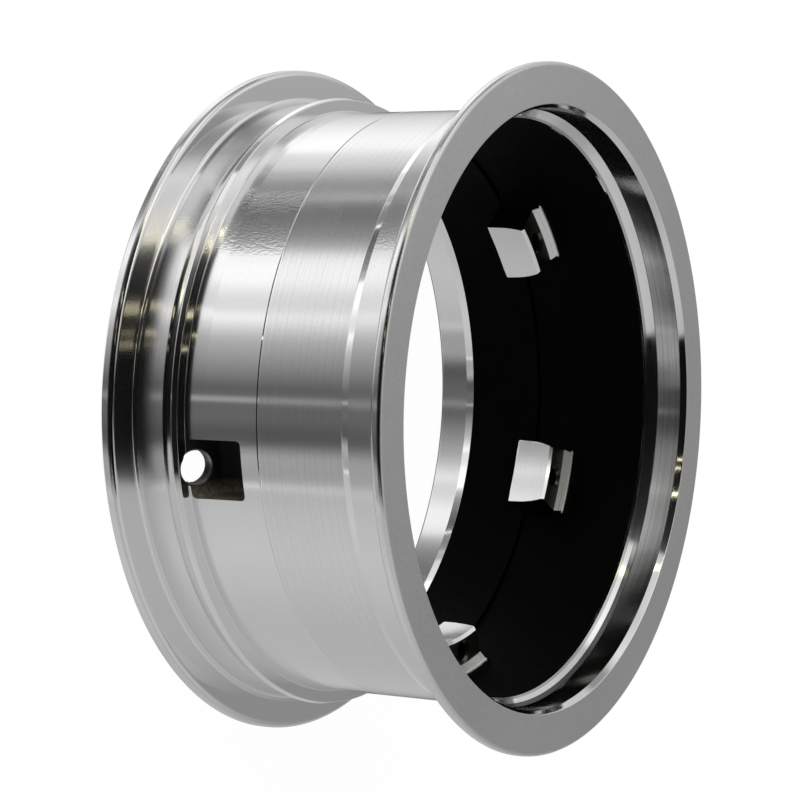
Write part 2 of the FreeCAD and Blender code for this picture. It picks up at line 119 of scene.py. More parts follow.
@dataclass(frozen=True)
class TurnedAlloy:
    """Bare alloy cut on a lathe: fine rings round the axis, stretched gloss, faint clouds, and where
    set a painted shade over a stretch of bearings.
    """

    name: str
    colour: tuple[float, float, float] = (0.88, 0.88, 0.885)
    roughness: float = 0.24
    anisotropy: float = 0.75
    metallic: float = 1.0
    pitch_mm: float = 0.45
    cut_um: float = 1.2
    cloudiness: float = 0.04
    waviness: float = 0.0
    line_mm: float = 1.2
    line_depth: float = 0.0
    speck_depth: float = 0.05
    chatter_um: float = 0.0
    chatter_deg: tuple[float, float] = (214.0, 229.5)
    # painted_shade and painted_shade_deg: painted shade, a darkening of the tone between two bearings
    # that stands in for a dark reflection.
    painted_shade: float = 0.0
    painted_shade_deg: tuple[float, float] = (192.0, 209.0)

    def build(self) -> bpy.types.Material:
        """Make the material.

        Returns:
            A material whose rings follow the sum of radius and height, so that they run round
            every cylinder, cone and flat face alike.
        """
        material = bpy.data.materials.new(self.name)
        material.use_nodes = True
        sheet = NodeSheet(material.node_tree)
        place = sheet.add("ShaderNodeTexCoord").outputs["Object"]
        flat = sheet.vector("MULTIPLY", place, (1.0, 1.0, 0.0))
        radius = sheet.vector("LENGTH", flat.outputs[0]).outputs["Value"]
        height = sheet.add("ShaderNodeSeparateXYZ", {0: place}).outputs["Z"]
        travel = sheet.math("ADD", radius, height)
        fine = sheet.add(
            "ShaderNodeTexNoise",
            {"W": sheet.math("MULTIPLY", travel, 1000.0 / self.pitch_mm), "Scale": 1.0, "Detail": 2.0},
            noise_dimensions="1D",
        ).outputs[0]
        broad = sheet.add(
            "ShaderNodeTexNoise",
            {"W": sheet.math("MULTIPLY", travel, 120.0 / self.pitch_mm), "Scale": 1.0, "Detail": 1.0},
            noise_dimensions="1D",
        ).outputs[0]
        line = sheet.add(
            "ShaderNodeTexNoise",
            {"W": sheet.math("MULTIPLY", travel, 1000.0 / self.line_mm), "Scale": 1.0, "Detail": 3.0},
            noise_dimensions="1D",
        ).outputs[0]
        cloud = sheet.add(
            "ShaderNodeTexNoise", {"Vector": place, "Scale": 22.0, "Detail": 4.0, "Roughness": 0.6}
        ).outputs[0]
        speck = sheet.add(
            "ShaderNodeTexNoise", {"Vector": place, "Scale": 2200.0, "Detail": 2.0}
        ).outputs[0]
        rough = sheet.math(
            "ADD",
            sheet.spread(fine, self.roughness - 0.02, self.roughness + 0.02),
            sheet.spread(cloud, -self.cloudiness / 2, self.cloudiness / 2),
        )
        dull = tuple(c * (1.0 - self.cloudiness) for c in self.colour) + (1.0,)
        tone = sheet.blend(sheet.spread(cloud, 0.0, 1.0), dull, self.colour + (1.0,))
        shade_of_line = sheet.spread(line, 1.0 - self.line_depth, 1.0, 0.35, 0.65)
        shade_of_speck = sheet.spread(speck, 1.0 - self.speck_depth, 1.0)
        shade_of_both = sheet.math("MULTIPLY", shade_of_line, shade_of_speck)
        # Painted shade: darken the tone between two bearings, with the turned lines showing through, in
        # place of a dark reflection.
        if self.painted_shade:
            painted_shade_mask = self.between(sheet, place, self.painted_shade_deg, 0.01)
            painted_shade_mask = sheet.math("MULTIPLY", painted_shade_mask, sheet.spread(line, 0.86, 1.0))
            painted_shade_mask = sheet.math("MULTIPLY_ADD", painted_shade_mask, -self.painted_shade, 1.0)
            shade_of_both = sheet.math("MULTIPLY", shade_of_both, painted_shade_mask)
        tone = sheet.add(
            "ShaderNodeVectorMath", {0: tone, "Scale": shade_of_both}, operation="SCALE"
        ).outputs[0]
        relief = sheet.math("ADD", fine, sheet.math("MULTIPLY", broad, 1.5))
        bump = sheet.add(
            "ShaderNodeBump", {"Height": relief, "Strength": 1.0, "Distance": self.cut_um * 1e-6}
        ).outputs[0]
        if self.waviness:
            wave = sheet.add(
                "ShaderNodeTexNoise", {"Vector": place, "Scale": 120.0, "Detail": 2.0}
            ).outputs[0]
            bump = sheet.add(
                "ShaderNodeBump",
                {"Height": wave, "Strength": 1.0, "Distance": self.waviness * 1e-6, "Normal": bump},
            ).outputs[0]
        if self.chatter_um:
            bump = self.chatter(sheet, place, bump)
        round_way = sheet.vector("CROSS_PRODUCT", (0.0, 0.0, 1.0), flat.outputs[0]).outputs[0]
        tangent = sheet.vector("NORMALIZE", round_way).outputs[0]
        shader = sheet.add(
            "ShaderNodeBsdfPrincipled",
            {
                "Base Color": tone,
                "Metallic": self.metallic,
                "Roughness": rough,
                "Anisotropic": self.anisotropy,
                "Anisotropic Rotation": 0.25,
                "Normal": bump,
                "Tangent": tangent,
            },
        )
        sheet.add("ShaderNodeOutputMaterial", {0: shader.outputs[0]})
        return material

    def between(self, sheet: NodeSheet, place: bpy.types.NodeSocket,
                limits: tuple[float, float], soft: float) -> bpy.types.NodeSocket:
        """1 between two bearings round the axis and 0 outside them.

        Args:
            sheet: The material's nodes.
            place: Object coordinates.
            limits: The bearings in degrees, from -90 to 270.
            soft: Half the width of each edge as a share of a turn.

        Returns:
            The share.
        """
        parts = sheet.add("ShaderNodeSeparateXYZ", {0: place})
        bearing = sheet.math("ARCTAN2", parts.outputs["Y"], parts.outputs["X"])
        turn = sheet.math("FRACT", sheet.math("MULTIPLY_ADD", bearing, 0.5 / math.pi, 0.25))
        turn = sheet.math("SUBTRACT", turn, 0.25)
        sides = [
            sheet.add("ShaderNodeMapRange", {0: turn, 1: deg / 360 - soft, 2: deg / 360 + soft})
            for deg in limits
        ]
        return sheet.math("SUBTRACT", *(side.outputs[0] for side in sides))

    def chatter(self, sheet: NodeSheet, place: bpy.types.NodeSocket,
                bump: bpy.types.NodeSocket) -> bpy.types.NodeSocket:
        """Small ripples left by the tool over one stretch of bearings.

        Args:
            sheet: The material's nodes.
            place: Object coordinates.
            bump: The normal so far.

        Returns:
            The rippled normal.
        """
        height = sheet.add("ShaderNodeSeparateXYZ", {0: place}).outputs["Z"]
        off = sheet.math("ABSOLUTE", sheet.math("SUBTRACT", height, 0.0155))
        clear = sheet.add("ShaderNodeMapRange", {0: off, 1: 0.0029, 2: 0.0038}).outputs[0]
        marked = self.between(sheet, place, self.chatter_deg, 0.003)
        inside = sheet.math("MULTIPLY", marked, clear)
        drawn = sheet.vector("MULTIPLY", place, (1.0, 1.0, 0.45)).outputs[0]
        ripple = sheet.add(
            "ShaderNodeTexNoise", {"Vector": drawn, "Scale": 1900.0, "Detail": 1.5}
        ).outputs[0]
        height = sheet.math("MULTIPLY", ripple, inside)
        return sheet.add(
            "ShaderNodeBump",
            {"Height": height, "Strength": 1.0, "Distance": self.chatter_um * 1e-6, "Normal": bump},
        ).outputs[0]


@dataclass(frozen=True)
class CastSkin:
    """Cast skin, coated or raw: grainy, matt, with soft patches."""

    name: str
    colour: tuple[float, float, float] = (0.012, 0.012, 0.013)
    patch: tuple[float, float, float] = (0.020, 0.020, 0.021)
    metallic: float = 0.0
    roughness: float = 0.62
    specular: float = 0.3
    grain_um: float = 60.0
    grain_scale: float = 700.0
    bare_beyond_mm: float = 0.0
    bare: tuple[float, float, float] = (0.20, 0.175, 0.14)

    def build(self) -> bpy.types.Material:
        """Make the material from two grain sizes of noise.

        Where bare_beyond_mm is set, the skin turns to bare grainy metal past that distance
        along X.
        """
        material = bpy.data.materials.new(self.name)
        material.use_nodes = True
        sheet = NodeSheet(material.node_tree)
        place = sheet.add("ShaderNodeTexCoord").outputs["Object"]
        grain = sheet.add(
            "ShaderNodeTexNoise", {"Vector": place, "Scale": self.grain_scale, "Detail": 3.0}
        ).outputs[0]
        patches = sheet.add(
            "ShaderNodeTexNoise", {"Vector": place, "Scale": 60.0, "Detail": 4.0}
        ).outputs[0]
        tone = sheet.blend(
            sheet.spread(patches, 0.0, 1.0), self.colour + (1.0,), self.patch + (1.0,)
        )
        if self.bare_beyond_mm:
            across = sheet.add("ShaderNodeSeparateXYZ", {0: place}).outputs["X"]
            edge = self.bare_beyond_mm * MM
            worn = sheet.add(
                "ShaderNodeMapRange", {0: across, 1: edge - 1.2 * MM, 2: edge + 2.4 * MM}
            ).outputs[0]
            worn = sheet.math("MULTIPLY", worn, sheet.spread(grain, 0.5, 1.0, 0.35, 0.6))
            tone = sheet.blend(worn, tone, self.bare + (1.0,))
        rough = sheet.math(
            "ADD", sheet.spread(grain, self.roughness - 0.06, self.roughness + 0.06),
            sheet.spread(patches, -0.05, 0.05),
        )
        bump = sheet.add(
            "ShaderNodeBump", {"Height": grain, "Strength": 1.0, "Distance": self.grain_um * 1e-6}
        ).outputs[0]
        shader = sheet.add(
            "ShaderNodeBsdfPrincipled",
            {
                "Base Color": tone,
                "Metallic": self.metallic,
                "Roughness": rough,
                "Specular IOR Level": self.specular,
                "Normal": bump,
            },
        )
        sheet.add("ShaderNodeOutputMaterial", {0: shader.outputs[0]})
        return material


def rim_finishes() -> list[bpy.types.Material]:
    """One material for each Surface, in its order."""
    finishes = {
        Surface.BARREL_BACK: TurnedAlloy("barrel_back_satin", roughness=0.14, anisotropy=0.95,
                                         cut_um=0.6, speck_depth=0.03, chatter_um=44.0),
        Surface.BARREL_FRONT: TurnedAlloy("barrel_front_satin", roughness=0.18, anisotropy=0.95,
                                          cut_um=1.0, line_mm=0.6, line_depth=0.05),
        Surface.POLISHED: TurnedAlloy("flange_polished", roughness=0.07, anisotropy=0.4,
                                      pitch_mm=0.3, cut_um=0.2, cloudiness=0.01, speck_depth=0.0),
        Surface.FACE: TurnedAlloy("face_satin", colour=(0.86, 0.855, 0.865), roughness=0.30,
                                  anisotropy=0.3, pitch_mm=0.35, cut_um=1.5, speck_depth=0.12),
        Surface.CAST: CastSkin("inner_black_coat", colour=(0.0015, 0.0015, 0.0015),
                               patch=(0.003, 0.003, 0.003), specular=0.035),
        Surface.SEAT: TurnedAlloy("seat_polished", roughness=0.2, anisotropy=0.92, pitch_mm=0.4,
                                  cut_um=0.5, chatter_um=30.0),
        Surface.POCKET: CastSkin("pocket_raw_cast", colour=(0.006, 0.005, 0.005),
                                 patch=(0.02, 0.018, 0.015), roughness=0.5, specular=0.15,
                                 grain_um=120.0, grain_scale=900.0, bare_beyond_mm=5.0),
        Surface.RIBBED: CastSkin("valve_hole_alloy", colour=(0.30, 0.30, 0.29),
                                 patch=(0.38, 0.37, 0.35), metallic=1.0, roughness=0.35,
                                 specular=0.5, grain_um=10.0),
        Surface.LUG: TurnedAlloy("lug_satin", colour=(0.80, 0.80, 0.80), roughness=0.2,
                                 anisotropy=0.6, pitch_mm=0.6, cut_um=1.2),
        Surface.SHOULDER: TurnedAlloy("lug_shoulder_dark", colour=(0.10, 0.095, 0.085),
                                      roughness=0.3, anisotropy=0.3, cut_um=1.0),
        # Painted shade: a near-black strip with no gloss on the small step in the cast wall, where that
        # step lies in shade.
        Surface.SEAM: CastSkin("step_painted_shade", colour=(0.0005, 0.0005, 0.0005),
                               patch=(0.0005, 0.0005, 0.0005), specular=0.0),
        Surface.COUNTERBORE: TurnedAlloy("counterbore_satin", colour=(0.63, 0.63, 0.62),
                                         roughness=0.13, anisotropy=0.85, pitch_mm=0.5,
                                         cut_um=0.6, line_mm=0.8, line_depth=0.18),
        Surface.PILOT: TurnedAlloy("lug_pilot_matt", colour=(0.84, 0.84, 0.83), metallic=0.72,
                                   roughness=0.28, anisotropy=0.4, pitch_mm=0.6),
        # The back seat carries a painted shade over bearings 192 to 209, standing in for a dark
        # reflection.
        Surface.BACK_SEAT: TurnedAlloy("back_seat_polished", roughness=0.2, anisotropy=0.92,
                                       pitch_mm=0.4, cut_um=0.5, chatter_um=40.0,
                                       chatter_deg=(216.5, 226.5), painted_shade=0.55),
        # The cone edge is painted nearly black over bearings -30 to 46: a painted dark reflection on
        # one side of the ring.
        Surface.CONE_EDGE: TurnedAlloy("cone_edge_polished", roughness=0.1, anisotropy=0.4,
                                       pitch_mm=0.3, cut_um=0.2, cloudiness=0.01, painted_shade=0.96,
                                       painted_shade_deg=(-30.0, 46.0)),
    }
    return [finishes[surface].build() for surface in Surface]


def round_corners(points: np.ndarray, radii: np.ndarray, counts: np.ndarray) -> tuple[np.ndarray, np.ndarray, np.ndarray]:
    """Round every corner of a closed outline at once.

    At a corner with inner angle b the arc's centre lies on the bisector at radius / sin(b / 2),
    and its points turn evenly from one tangent point to the other. A radius of 0 keeps the
    corner itself.

    Args:
        points: Corners, n by 2.
        radii: Rounding of each corner.
        counts: Points on each corner's arc.

    Returns:
        The outline's points, the corner of each point, and its share of the way along the arc.
    """
    before = np.roll(points, 1, axis=0) - points
    after = np.roll(points, -1, axis=0) - points
    before /= np.linalg.norm(before, axis=1, keepdims=True)
    after /= np.linalg.norm(after, axis=1, keepdims=True)
    inner = np.arccos(np.clip((before * after).sum(axis=1), -1.0, 1.0))
    turn = np.maximum(np.pi - inner, 1e-6)
    along = radii * np.tan(turn / 2)
    start = points + before * along[:, None]
    end = points + after * along[:, None]
    bisector = before + after
    length = np.maximum(np.linalg.norm(bisector, axis=1, keepdims=True), 1e-9)
    centre = points + bisector / length * (radii / np.cos(turn / 2))[:, None]
    corner = np.repeat(np.arange(len(points)), counts)
    first = np.repeat(np.cumsum(counts) - counts, counts)
    share = (np.arange(counts.sum()) - first) / np.maximum(counts[corner] - 1, 1)
    sweep = turn[corner]
    lead = (np.sin((1 - share) * sweep) / np.sin(sweep))[:, None]
    trail = (np.sin(share * sweep) / np.sin(sweep))[:, None]
    arc = centre[corner] + lead * (start - centre)[corner] + trail * (end - centre)[corner]
    sharp = (radii[corner] <= 0)[:, None]
    return np.where(sharp, points[corner], arc), corner, share


def hold_ends(outline: np.ndarray, strip: np.ndarray, reach: float = 0.18,
              least: float = 0.9) -> tuple[np.ndarray, np.ndarray]:
    """Add a point near both ends of every long straight run, so that its shading stays flat.

    Args:
        outline: Points of a closed outline, n by 2.
        strip: A tag for the run that starts at each point.
        reach: Distance of the added points from the run's ends.
        least: Shortest run that gets them.

    Returns:
        The longer outline and its tags.
    """
    gap = np.roll(outline, -1, axis=0) - outline
    length = np.linalg.norm(gap, axis=1)
    copies = np.where(length > least, 3, 1)
    index = np.repeat(np.arange(len(outline)), copies)
    place = np.arange(len(index)) - np.repeat(np.cumsum(copies) - copies, copies)
    along = np.choose(place, [0.0 * length[index], 0.0 * length[index] + reach, length[index] - reach])
    way = gap / np.maximum(length, 1e-9)[:, None]
    return outline[index] + way[index] * along[:, None], strip[index]


def grid_faces(rows: int, columns: int, wrap_rows: bool, wrap_columns: bool) -> np.ndarray:
    """Four-sided faces of a grid of points stored row by row.

    Args:
        rows: Number of rows.
        columns: Number of points in a row.
        wrap_rows: Whether the last row joins the first.
        wrap_columns: Whether the last column joins the first.

    Returns:
        Vertex numbers, one face per line, row by row.
    """
    i = np.arange(rows if wrap_rows else rows - 1)[:, None]
    j = np.arange(columns if wrap_columns else columns - 1)[None, :]
    up, right = (i + 1) % rows, (j + 1) % columns
    faces = np.stack(
        [i * columns + j, i * columns + right, up * columns + right, up * columns + j], axis=-1
    )
    return faces.reshape(-1, 4)


def mesh_piece(name: str, points: np.ndarray, faces: list, surfaces: np.ndarray,
               materials: list[bpy.types.Material]) -> bpy.types.Object:
    """Closed mesh in millimetres made an object in metres, with its faces turned outwards.

    Args:
        name: The object's name.
        points: Vertices, n by 3, in millimetres.
        faces: Vertex numbers of each face.
        surfaces: Material slot of each face.
        materials: The slots.

    Returns:
        The linked object.
    """
    mesh = bpy.data.meshes.new(name)
    mesh.from_pydata((points * MM).tolist(), [], faces)
    for material in materials:
        mesh.materials.append(material)
    mesh.polygons.foreach_set("material_index", np.asarray(surfaces, dtype=np.int32))
    work = bmesh.new()
    work.from_mesh(mesh)
    bmesh.ops.remove_doubles(work, verts=work.verts, dist=2e-6)
    bmesh.ops.dissolve_degenerate(work, edges=work.edges, dist=1e-7)
    bmesh.ops.recalc_face_normals(work, faces=work.faces)
    if work.calc_volume(signed=True) < 0:
        bmesh.ops.reverse_faces(work, faces=work.faces)
    work.to_mesh(mesh)
    work.free()
    piece = bpy.data.objects.new(name, mesh)
    bpy.context.scene.collection.objects.link(piece)
    return piece


def settle(piece: bpy.types.Object) -> bpy.types.Object:
    """Replace a piece's mesh by its finished one and drop the modifiers."""
    graph = bpy.context.evaluated_depsgraph_get()
    graph.update()
    done = bpy.data.meshes.new_from_object(
        piece.evaluated_get(graph), preserve_all_data_layers=True, depsgraph=graph
    )
    piece.modifiers.clear()
    piece.data = done
    return piece


def carve(piece: bpy.types.Object, tool: bpy.types.Object, operation: str = "DIFFERENCE") -> None:
    """Cut a closed tool out of a piece, or join it on, and remove the tool."""
    change = piece.modifiers.new("carve", "BOOLEAN")
    change.operation = operation
    change.solver = "EXACT"
    change.material_mode = "TRANSFER"
    change.object = tool
    settle(piece)
    bpy.data.objects.remove(tool)


def shade(piece: bpy.types.Object, limit_deg: float = 32.0) -> None:
    """Smooth shading that keeps true edges and leaves flats flat."""
    mesh = piece.data
    mesh.polygons.foreach_set("use_smooth", np.ones(len(mesh.polygons), dtype=bool))
    mesh.set_sharp_from_angle(angle=math.radians(limit_deg))
    even = piece.modifiers.new("even_normals", "WEIGHTED_NORMAL")
    even.keep_sharp = True
    even.weight = 60
    settle(piece)


def prism(name: str, outline: np.ndarray, half: float, rounding: float, surface: Surface,
          materials: list[bpy.types.Material]) -> bpy.types.Object:
    """Outline in the plane of radius and height at the valve, carried sideways and rounded.

    Args:
        name: The object's name.
        outline: Corners (distance from the axis, height) in millimetres.
        half: Half the width across.
        rounding: Rounding of every edge.
        surface: The material of its faces.
        materials: The slots.

    Returns:
        A closed object on the valve's side of the rim.
    """
    count = len(outline)
    side = np.column_stack([np.zeros(count), -outline[:, 0], outline[:, 1]])
    shift = np.array([half, 0.0, 0.0])
    points = np.concatenate([side - shift, side + shift])
    faces = grid_faces(2, count, False, True).tolist()
    faces += [list(range(count))[::-1], list(range(count, 2 * count))]
    piece = mesh_piece(name, points, faces, np.full(len(faces), surface.value), materials)
    edge = piece.modifiers.new("rounded", "BEVEL")
    edge.width = rounding * MM
    edge.segments = 4
    edge.limit_method = "ANGLE"
    edge.angle_limit = math.radians(20)
    return settle(piece)


@dataclass
class RimShell:
    """The turned ring with both flanges, seats, hump, barrel and bores. Sizes in millimetres."""

    width: float = 82.0
    flange: float = 91.7
    seat: float = 82.5
    barrel: float = 79.6
    hump: float = 83.7
    front_bore: float = 79.7
    back_bore: float = 77.0
    cast_wall: float = 75.9
    turns: int = 384
    materials: list = field(default_factory=list)

    def corner_table(self) -> list[tuple[float, float, float, int, Surface]]:
        """Corners of the cross-section.

        Returns:
            For each corner its radius, height, rounding, points, and the surface that follows.
        """
        top, r = self.width, self.flange
        back, front = Surface.BARREL_BACK, Surface.BARREL_FRONT
        polished, face, cast, seat = Surface.POLISHED, Surface.FACE, Surface.CAST, Surface.SEAT
        return [
            (80.4, 0.0, 0.15, 4, face),
            (r, 0.0, 0.5, 6, front),
            (r, 3.3, 1.6, 12, polished),
            (self.seat, 3.42, 1.8, 12, Surface.BACK_SEAT),
            (self.seat - 0.3, 12.2, 0.6, 6, polished),
            (self.hump + 0.1, 15.9, 0.5, 7, polished),
            (self.hump - 0.35, 17.4, 0.35, 7, polished),
            (self.barrel + 0.35, 17.45, 0.3, 5, back),
            (self.barrel, 23.0, 5.0, 4, back),
            (self.barrel, 38.8, 0.05, 3, polished),
            (self.barrel - 0.15, 39.0, 0.05, 3, polished),
            (self.barrel - 0.15, 39.4, 0.05, 3, polished),
            (self.barrel, 39.6, 0.05, 3, front),
            (self.barrel, 63.9, 0.4, 5, polished),
            (81.7, 65.0, 0.25, 4, polished),
            (self.seat - 0.3, 67.1, 0.3, 4, seat),
            (self.seat, top - 3.42, 1.8, 12, polished),
            (r, top - 3.3, 1.6, 12, front),
            (r, top, 1.1, 9, face),
            (80.7, top, 0.3, 6, polished),
            (self.front_bore, top - 1.65, 0.1, 4, Surface.COUNTERBORE),
            (self.front_bore, 73.1, 0.15, 4, Surface.CONE_EDGE),
            (78.75, 72.15, 0.0, 1, polished),
            (77.75, 71.15, 0.0, 1, Surface.COUNTERBORE),
            (77.2, 70.6, 0.12, 4, polished),
            (77.15, 69.9, 0.15, 4, cast),
            (76.9, 69.6, 0.1, 4, cast),
            # The strip after this corner is painted shade on the wall's step.
            (76.7, 36.1, 0.15, 4, Surface.SEAM),
            (self.cast_wall, 35.5, 0.15, 4, cast),
            (self.cast_wall, 13.5, 0.15, 4, polished),
            (self.back_bore, 10.5, 0.12, 4, seat),
            (self.back_bore, 2.4, 0.12, 4, face),
            (79.7, 2.4, 0.1, 4, polished),
            (79.7, 0.7, 0.1, 4, polished),
        ]

    def build(self) -> bpy.types.Object:
        """Revolve the rounded cross-section, then add the valve boss and cut its pocket and hole.

        Each profile point (r, z) becomes the ring of points (r cos t, r sin t, z).

        Returns:
            The finished ring.
        """
        table = self.corner_table()
        corners = np.array([row[:2] for row in table])
        radii = np.array([row[2] for row in table])
        counts = np.array([row[3] for row in table])
        tags = np.array([row[4].value for row in table])
        outline, corner, share = round_corners(corners, radii, counts)
        step = share + 0.5 / np.maximum(counts[corner] - 1, 1)
        strip = np.where(step < 0.5, tags[corner - 1], tags[corner])
        outline, strip = hold_ends(outline, strip)
        angle = np.arange(self.turns) * (2 * np.pi / self.turns)
        r, z = outline[:, :1], outline[:, 1:]
        points = np.stack(
            [r * np.cos(angle), r * np.sin(angle), np.broadcast_to(z, (len(r), self.turns))], axis=-1
        ).reshape(-1, 3)
        faces = grid_faces(len(r), self.turns, True, True)
        ring = mesh_piece("rim_ring", points, faces.tolist(), np.repeat(strip, self.turns),
                          self.materials)
        ValvePocket(materials=self.materials).cut(ring)
        shade(ring)
        LOG.info("rim_ring: %d faces", len(ring.data.polygons))
        return ring


@dataclass
class ValvePocket:
    """Pocket sunk in the barrel at the back hump, its inner boss and its slanted hole."""

    barrel: float = 79.6
    back: float = 17.7
    slope_deg: float = 30.0
    depth: float = 8.4
    front: float = 34.0
    ramp: float = 3.5
    half_width: float = 7.7
    wall: float = 3.8
    hole: float = 4.6
    rib: float = 0.22
    rib_pitch: float = 1.15
    centre: tuple[float, float, float] = (0.0, -78.1, 18.67)
    materials: list = field(default_factory=list)

    def floor(self, depth: float) -> float:
        """Height of the sloping floor at a depth below the barrel."""
        return self.back + depth * math.tan(math.radians(self.slope_deg))

    def boss(self) -> bpy.types.Object:
        """The thickening of the cast wall inside, behind the pocket."""
        lean = self.wall / math.cos(math.radians(self.slope_deg))
        outline = np.array([
            (self.barrel - 2.0, self.floor(2.0) - lean),
            (self.barrel - 12.0, self.floor(12.0) - lean),
            (self.barrel - 12.0, self.front - 0.5),
            (self.barrel - 2.0, self.front + 4.6),
        ])
        half = self.half_width + self.wall
        return prism("boss", outline, half, 1.6, Surface.CAST, self.materials)

    def hollow(self) -> bpy.types.Object:
        """The pocket's own space."""
        out = self.barrel + 8.0
        outline = np.array([
            (out, self.back),
            (self.barrel, self.back),
            (self.barrel - self.depth, self.floor(self.depth)),
            (self.barrel - self.depth, self.front - self.ramp),
            (self.barrel, self.front),
            (out, self.front),
        ])
        return prism("hollow", outline, self.half_width, 1.3, Surface.POCKET, self.materials)

    def drill(self) -> bpy.types.Object:
        """The valve hole: a turned rod with ribs, laid along the slanted axis.

        Its radius swings by the rib's depth over each rib pitch along the axis.
        """
        around, along = 56, np.linspace(-24.0, 7.0, 249)
        swing = self.rib * np.cos(2 * np.pi * along / self.rib_pitch)
        radius = np.where(along > 1.2, self.hole, self.hole + swing)[:, None]
        turn = np.arange(around)[None, :] * (2 * np.pi / around)
        lean = math.radians(self.slope_deg)
        way = np.array([0.0, -math.sin(lean), math.cos(lean)])
        side = np.array([1.0, 0.0, 0.0])
        other = np.cross(way, side)
        points = (
            np.array(self.centre)
            + along[:, None, None] * way
            + (radius * np.cos(turn))[..., None] * side
            + (radius * np.sin(turn))[..., None] * other
        ).reshape(-1, 3)
        faces = grid_faces(len(along), around, False, True).tolist()
        faces += [list(range(around))[::-1], list(range(len(points) - around, len(points)))]
        return mesh_piece("drill", points, faces, np.full(len(faces), Surface.RIBBED.value),
                          self.materials)

    def cut(self, ring: bpy.types.Object) -> None:
        """Join the boss to the ring, then cut the pocket and the hole."""
        carve(ring, self.boss(), "UNION")
        carve(ring, self.hollow())
        carve(ring, self.drill())


@dataclass
class Lugs:
    """Six cast lugs with turned inner faces, shoulders and pilots. Sizes in millimetres."""

    count: int = 6
    half_width: float = 9.7
    wall: float = 76.8
    face: float = 65.6
    pilot: float = 73.3
    back: float = 35.2
    shoulder: float = 46.6
    front: float = 48.7
    lead: float = 0.9
    flare: float = 1.2
    root: float = 3.3
    draft: float = 0.0035
    bolt_circle: float = 70.0
    thread: float = 2.5
    materials: list = field(default_factory=list)

    def plan(self) -> np.ndarray:
        """Outline of one lug seen along the axis, its root fillets and buried back included."""
        w, buried = self.half_width, 78.0
        reach = 15.2
        edge = math.sqrt((self.wall + 0.15) ** 2 - reach**2)
        deep = math.sqrt(buried**2 - reach**2)
        heel = math.sqrt(self.wall**2 - w**2)
        inner = math.sqrt(self.face**2 - w**2)
        rows = [
            (deep, -reach, 0.0, 1), (edge, -reach, 0.0, 1), (heel, -w, self.root, 9),
            (inner, -w, 0.55, 5), (inner, -w * 0.66, 0.0, 1), (inner, -w * 0.33, 0.0, 1),
            (inner, 0.0, 0.0, 1), (inner, w * 0.33, 0.0, 1), (inner, w * 0.66, 0.0, 1),
            (inner, w, 0.55, 5), (heel, w, self.root, 9), (edge, reach, 0.0, 1),
            (deep, reach, 0.0, 1), (buried * 0.995, w * 0.8, 0.0, 1), (buried, 0.0, 0.0, 1),
            (buried * 0.995, -w * 0.8, 0.0, 1),
        ]
        table = np.array(rows)
        return round_corners(table[:, :2], table[:, 2], table[:, 3].astype(int))[0]

    def levels(self) -> np.ndarray:
        """Rows of height, smallest radius left by turning, and inset of the cast end."""
        climb = np.linspace(0.0, np.pi / 2, 7)[1:]
        sweep = np.column_stack([
            self.front + 3.2 * (1 - np.cos(climb)),
            75.7 + (77.2 - 75.7) * np.sin(climb),
            np.full(len(climb), 1.2),
        ])
        base = np.array([
            (self.back, 0.0, 0.9),
            (self.back + 0.12, 0.0, 0.5),
            (self.back + 0.4, 0.0, 0.15),
            (self.back + 0.9, 0.0, 0.0),
            (self.shoulder - 7.0, 0.0, 0.0),
            (self.shoulder - 5.2, 0.0, 0.0),
            (self.shoulder - 3.4, 0.0, 0.0),
            (self.shoulder - 1.8, 0.0, 0.0),
            (self.shoulder - 0.6, 0.0, 0.0),
            (self.shoulder, self.face + self.lead, 0.0),
            (self.shoulder, self.pilot, 0.0),
            (self.shoulder + 0.12, self.pilot + 0.03, 0.0),
            (self.front - 0.3, self.pilot + 1.65, 0.35),
            (self.front - 0.08, self.pilot + 1.85, 0.6),
            (self.front, self.pilot + 2.1, 0.9),
            (self.front, 75.7, 1.2),
        ])
        return np.concatenate([base, sweep])

    def tap(self) -> bpy.types.Object:
        """Six threaded drills with countersunk mouths, one for each lug.

        The radius rises from the core to the crest and back over each pitch of 1 mm.
        """
        around = 28
        z = np.arange(self.back - 2.0, self.shoulder - 0.4, 0.25)
        wave = np.abs(((z - self.back) % 1.0) - 0.5) * 2
        z = np.concatenate([z, [self.shoulder - 0.75, self.shoulder, self.shoulder + 1.5]])
        z.sort()
        radius = np.concatenate([self.thread + 0.45 * wave, np.zeros(3)])[: len(z)]
        mouth = self.thread + 0.05 + np.clip(z - (self.shoulder - 0.75), 0.0, 0.75)
        radius = np.where(z > self.shoulder - 0.8, mouth, radius)
        turn = np.arange(around) * (2 * np.pi / around)
        x = self.bolt_circle + radius[:, None] * np.cos(turn)
        y = radius[:, None] * np.sin(turn)
        one = np.stack([x, y, np.broadcast_to(z[:, None], x.shape)], axis=-1).reshape(-1, 3)
        faces = grid_faces(len(z), around, False, True).tolist()
        faces += [list(range(around))[::-1], list(range(len(one) - around, len(one)))]
        points, faces = self.repeat(one, faces)
        rows = np.repeat(z[:-1] > self.shoulder - 0.8, around)
        slots = np.where(rows, Surface.SHOULDER.value, Surface.CAST.value)
        slots = np.tile(np.concatenate([slots, [Surface.CAST.value] * 2]), self.count)
        return mesh_piece("tap", points, faces, slots, self.materials)

    def repeat(self, points: np.ndarray, faces: list) -> tuple[np.ndarray, list]:
        """Copies of a mesh turned evenly about the axis."""
        angle = np.arange(self.count) * (2 * np.pi / self.count)
        cos, sin = np.cos(angle), np.sin(angle)
        zero, one = np.zeros(self.count), np.ones(self.count)
        turn = np.array([[cos, -sin, zero], [sin, cos, zero], [zero, zero, one]])
        copies = np.einsum("ijk,nj->kni", turn, points).reshape(-1, 3)
        many = [[v + k * len(points) for v in face] for k in range(self.count) for face in faces]
        return copies, many

